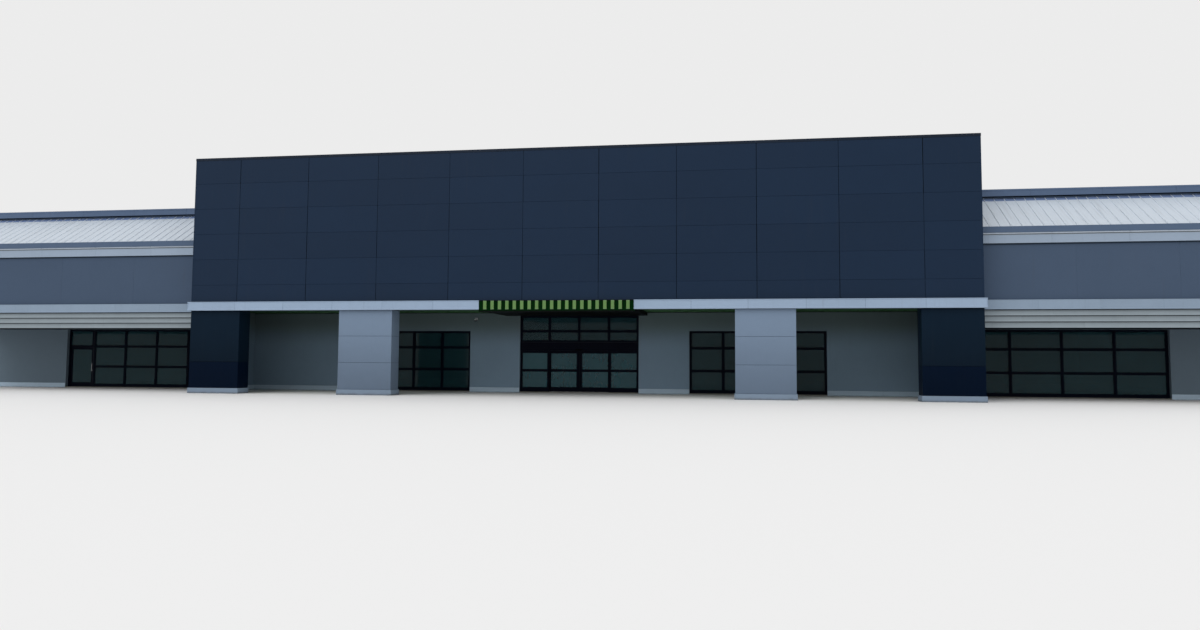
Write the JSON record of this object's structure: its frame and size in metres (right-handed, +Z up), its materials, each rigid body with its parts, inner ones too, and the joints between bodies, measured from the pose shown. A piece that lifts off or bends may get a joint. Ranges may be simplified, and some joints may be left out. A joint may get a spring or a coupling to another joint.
{
  "type": "scale model of a supermarket building at 1:2",
  "caption": "Single-storey supermarket with a tall panelled front block over an arcade, sliding entrance doors and lower wings with sloped metal roofs, at half size.",
  "frame": {"origin": "middle of the footprint, on the ground", "axes": "+X to the right as seen from the street, +Y from the street into the building, +Z up"},
  "size_m": [34.03, 18.14, 5.628],
  "materials": {
    "concrete": "rough",
    "recess_wall": "painted render",
    "field_wall": "painted render",
    "roof_membrane": "matt",
    "coping": "satin",
    "navy_panels": "satin",
    "navy_coping": "satin",
    "pale_band": "satin",
    "canopy_dark": "satin",
    "canopy_green": "satin",
    "green_ceiling": "matt",
    "grey_panels": "satin",
    "pale_plinth": "painted",
    "pale_siding": "satin",
    "blue_flashing": "satin",
    "metal_roof": "satin",
    "walk_ceiling": "matt",
    "black_frame": "black anodised",
    "dark_glass": "tinted",
    "dome_grey": "gloss"
  },
  "bodies": {
    "building": {"floor_slab": "concrete", "shop_wall_left": "recess_wall", "shop_wall_right": "recess_wall", "wing_walls": "recess_wall", "walls_over_openings": "recess_wall", "rear_wall": "field_wall", "party_walls": "field_wall", "roof_decks": "roof_membrane", "parapet_coping": "coping", "block_front_wall": "navy_panels", "block_side_walls": "navy_panels", "block_rear_wall": "navy_panels", "block_coping": "navy_coping", "block_bands": "pale_band", "canopy": "canopy_dark", "canopy_slats": "canopy_green", "arcade_ceilings": "green_ceiling", "grey_piers": "grey_panels", "end_piers": "navy_panels", "plinths": "pale_plinth", "arcade_end_walls": "recess_wall", "base_strips": "pale_plinth", "side_base_strips": "pale_plinth", "wing_fascias": "field_wall", "wing_sidings": "pale_siding", "wing_bands": "pale_band", "wing_cornices": "pale_band", "wing_gutters": "blue_flashing", "wing_roofs": "metal_roof", "wing_parapets": "blue_flashing", "wing_ceilings": "walk_ceiling", "wing_end_walls": "field_wall", "block_window_frames": "black_frame", "wing_window_frames": "black_frame", "entrance_header": "black_frame", "door_frames": "black_frame", "storefront_glass": "dark_glass", "wall_dome": "dome_grey"},
    "left_leaf": {"left_sliding_leaf": "black_frame", "left_sliding_glass": "dark_glass"},
    "right_leaf": {"right_sliding_leaf": "black_frame", "right_sliding_glass": "dark_glass"},
    "swing_door": {"swing_leaf": "black_frame", "swing_leaf_glass": "dark_glass"}
  },
  "joints": [
    {"name": "left_leaf_slide", "type": "slide", "parent": "building", "child": "left_leaf", "axis": [-1, 0, 0], "range_m": [0, 0.68]},
    {"name": "right_leaf_slide", "type": "slide", "parent": "building", "child": "right_leaf", "axis": [1, 0, 0], "range_m": [0, 0.68]},
    {"name": "swing_door_hinge", "type": "hinge", "parent": "building", "child": "swing_door", "pos_m": [-14.468, -6.08, 0], "axis": [0, 0, -1], "range_deg": [0, 90]}
  ]
}
